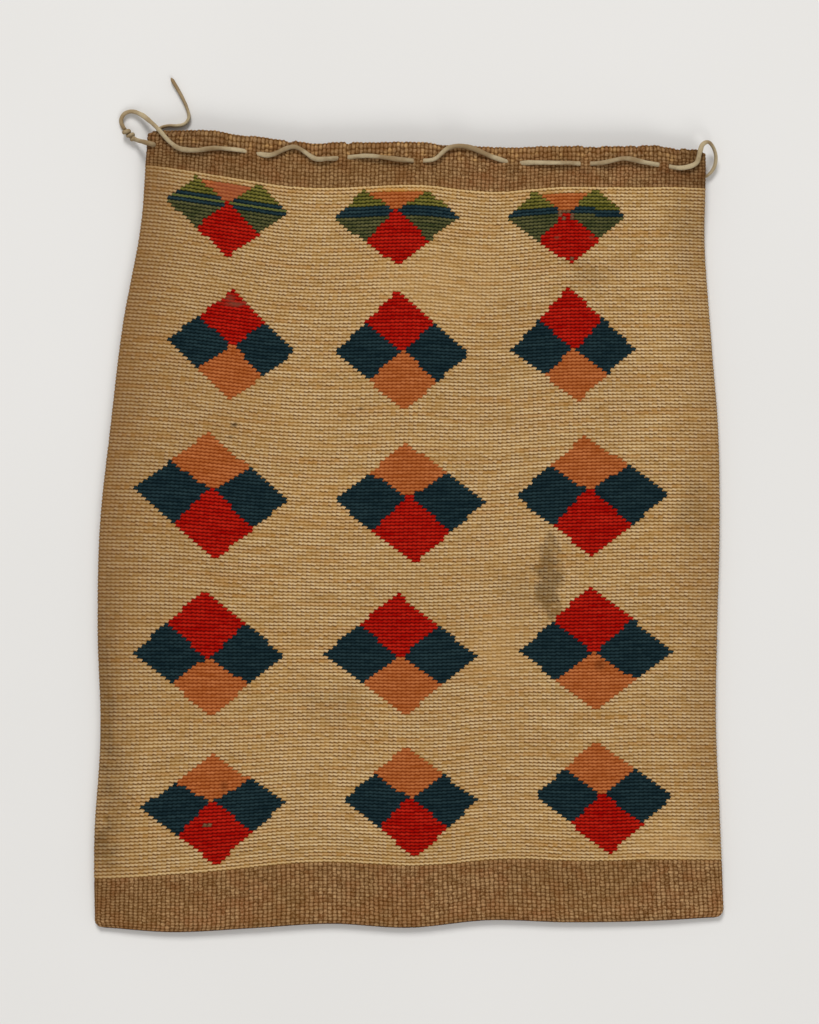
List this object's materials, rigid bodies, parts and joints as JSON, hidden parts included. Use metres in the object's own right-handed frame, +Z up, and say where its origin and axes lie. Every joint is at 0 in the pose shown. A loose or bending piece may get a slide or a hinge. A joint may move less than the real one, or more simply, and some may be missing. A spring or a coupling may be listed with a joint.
{
  "type": "cornhusk bag",
  "caption": "Flat twined storage bag lying on its back: hemp base and rim bands, pale cornhusk face with rows of coloured wool diamonds, and a drawcord laced round the mouth.",
  "frame": {"origin": "on the floor under the middle of the bag without its drawcord", "axes": "+Y along the bag from its base to its mouth, +X to the right seen from above, +Z up out of the decorated face"},
  "size_m": [0.4628, 0.6298, 0.022],
  "materials": {
    "hemp": "matte twined cord",
    "husk": "dull sheen of dry husk strands",
    "wool_red": "matte wool yarn",
    "wool_orange": "matte wool yarn",
    "wool_teal": "matte wool yarn",
    "wool_green": "matte wool yarn",
    "cord": "soft pale thong"
  },
  "bodies": {
    "root": {"wool_first_row_left_top": "wool_orange", "wool_first_row_left_sides": "wool_green", "wool_first_row_left_bottom": "wool_red", "wool_first_row_middle_top": "wool_orange", "wool_first_row_middle_sides": "wool_green", "wool_first_row_middle_bottom": "wool_red", "wool_first_row_right_top": "wool_orange", "wool_first_row_right_sides": "wool_green", "wool_first_row_right_bottom": "wool_red", "wool_second_row_left_top": "wool_red", "wool_second_row_left_sides": "wool_teal", "wool_second_row_left_bottom": "wool_orange", "wool_second_row_middle_top": "wool_red", "wool_second_row_middle_sides": "wool_teal", "wool_second_row_middle_bottom": "wool_orange", "wool_second_row_right_top": "wool_red", "wool_second_row_right_sides": "wool_teal", "wool_second_row_right_bottom": "wool_orange", "wool_third_row_left_top": "wool_orange", "wool_third_row_left_sides": "wool_teal", "wool_third_row_left_bottom": "wool_red", "wool_third_row_middle_top": "wool_orange", "wool_third_row_middle_sides": "wool_teal", "wool_third_row_middle_bottom": "wool_red", "wool_third_row_right_top": "wool_orange", "wool_third_row_right_sides": "wool_teal", "wool_third_row_right_bottom": "wool_red", "wool_fourth_row_left_top": "wool_red", "wool_fourth_row_left_sides": "wool_teal", "wool_fourth_row_left_bottom": "wool_orange", "wool_fourth_row_middle_top": "wool_red", "wool_fourth_row_middle_sides": "wool_teal", "wool_fourth_row_middle_bottom": "wool_orange", "wool_fourth_row_right_top": "wool_red", "wool_fourth_row_right_sides": "wool_teal", "wool_fourth_row_right_bottom": "wool_orange", "wool_fifth_row_left_top": "wool_orange", "wool_fifth_row_left_sides": "wool_teal", "wool_fifth_row_left_bottom": "wool_red", "wool_fifth_row_middle_top": "wool_orange", "wool_fifth_row_middle_sides": "wool_teal", "wool_fifth_row_middle_bottom": "wool_red", "wool_fifth_row_right_top": "wool_orange", "wool_fifth_row_right_sides": "wool_teal", "wool_fifth_row_right_bottom": "wool_red", "husk_overlay": "husk", "drawcord_tie": "cord", "drawcord_front": "cord", "drawcord_back": "cord", "drawcord_tail": "cord", "drawcord_knot": "cord", "twined_bag": "hemp"}
  },
  "joints": []
}
